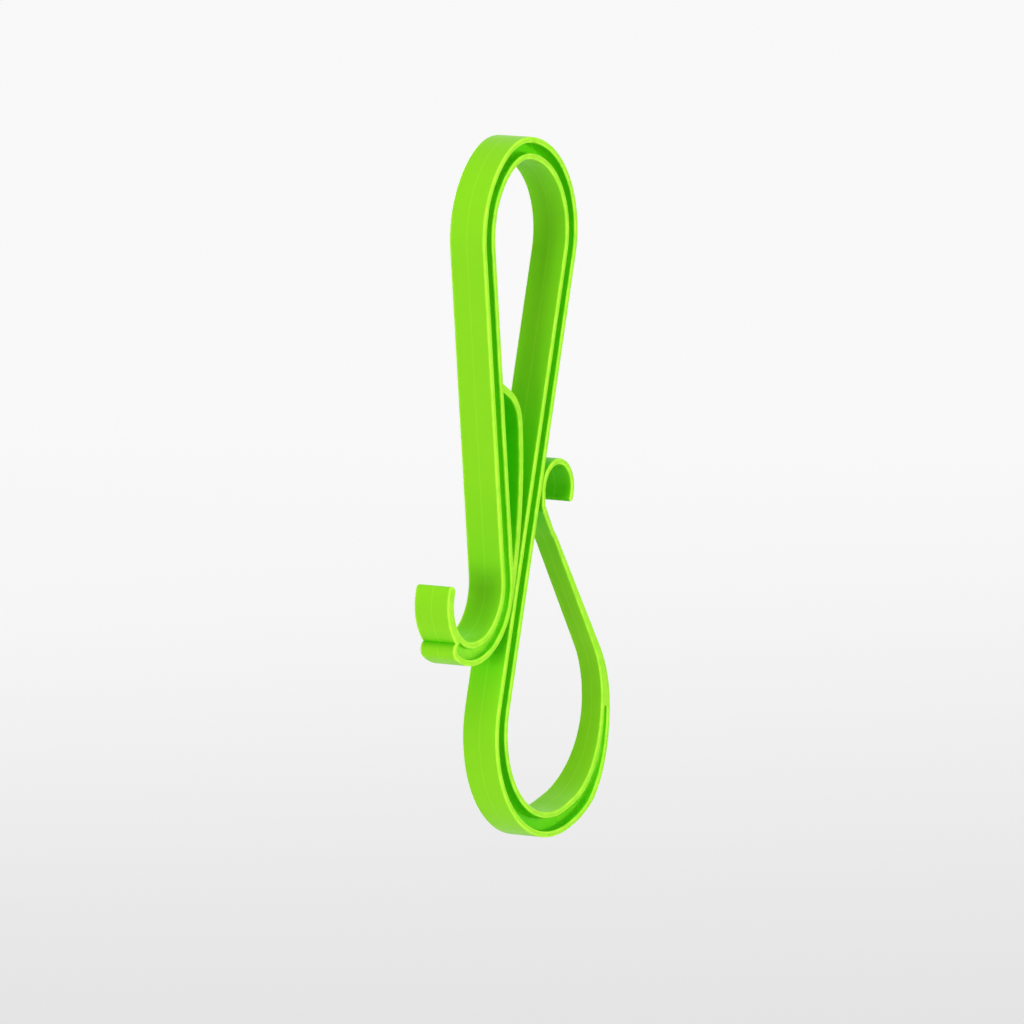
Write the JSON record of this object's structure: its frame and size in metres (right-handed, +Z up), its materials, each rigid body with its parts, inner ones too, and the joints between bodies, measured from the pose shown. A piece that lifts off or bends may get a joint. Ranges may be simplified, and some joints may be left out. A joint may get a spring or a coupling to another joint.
{
  "type": "wardrobe hook",
  "caption": "Springy over-the-rail hanging hook: a hanger loop, a bowed wedge, a small J-hook and a large bag loop closed by a thin gate with a finger curl.",
  "frame": {"origin": "the seat at the top of the hanger loop's inside, on the band's middle plane, where the loop rests on top of the rail", "axes": "+Z up, +X from the front arm towards the gate side, +Y along the rail and across the band's depth"},
  "size_m": [0.1314, 0.016, 0.285],
  "materials": {
    "hook_green": "semi-gloss moulded, lime green"
  },
  "bodies": {
    "root": {"rail_loop": "hook_green", "stem": "hook_green", "bag_loop": "hook_green"},
    "arm": {"front_arm": "hook_green", "arm_wedge": "hook_green", "j_hook": "hook_green", "hook_tip": "hook_green"},
    "gate": {"gate_strip": "hook_green", "gate_curl": "hook_green"}
  },
  "joints": [
    {"name": "arm_flex", "type": "hinge", "parent": "root", "child": "arm", "pos_m": [-0.03389, 0, -0.03413], "axis": [0, 1, 0], "range_deg": [0, 10], "stiffness_Nm_per_rad": 11},
    {"name": "gate_flex", "type": "hinge", "parent": "root", "child": "gate", "pos_m": [0.07021, 0, -0.22731], "axis": [0, 1, 0], "range_deg": [0, 22], "stiffness_Nm_per_rad": 0.3}
  ]
}
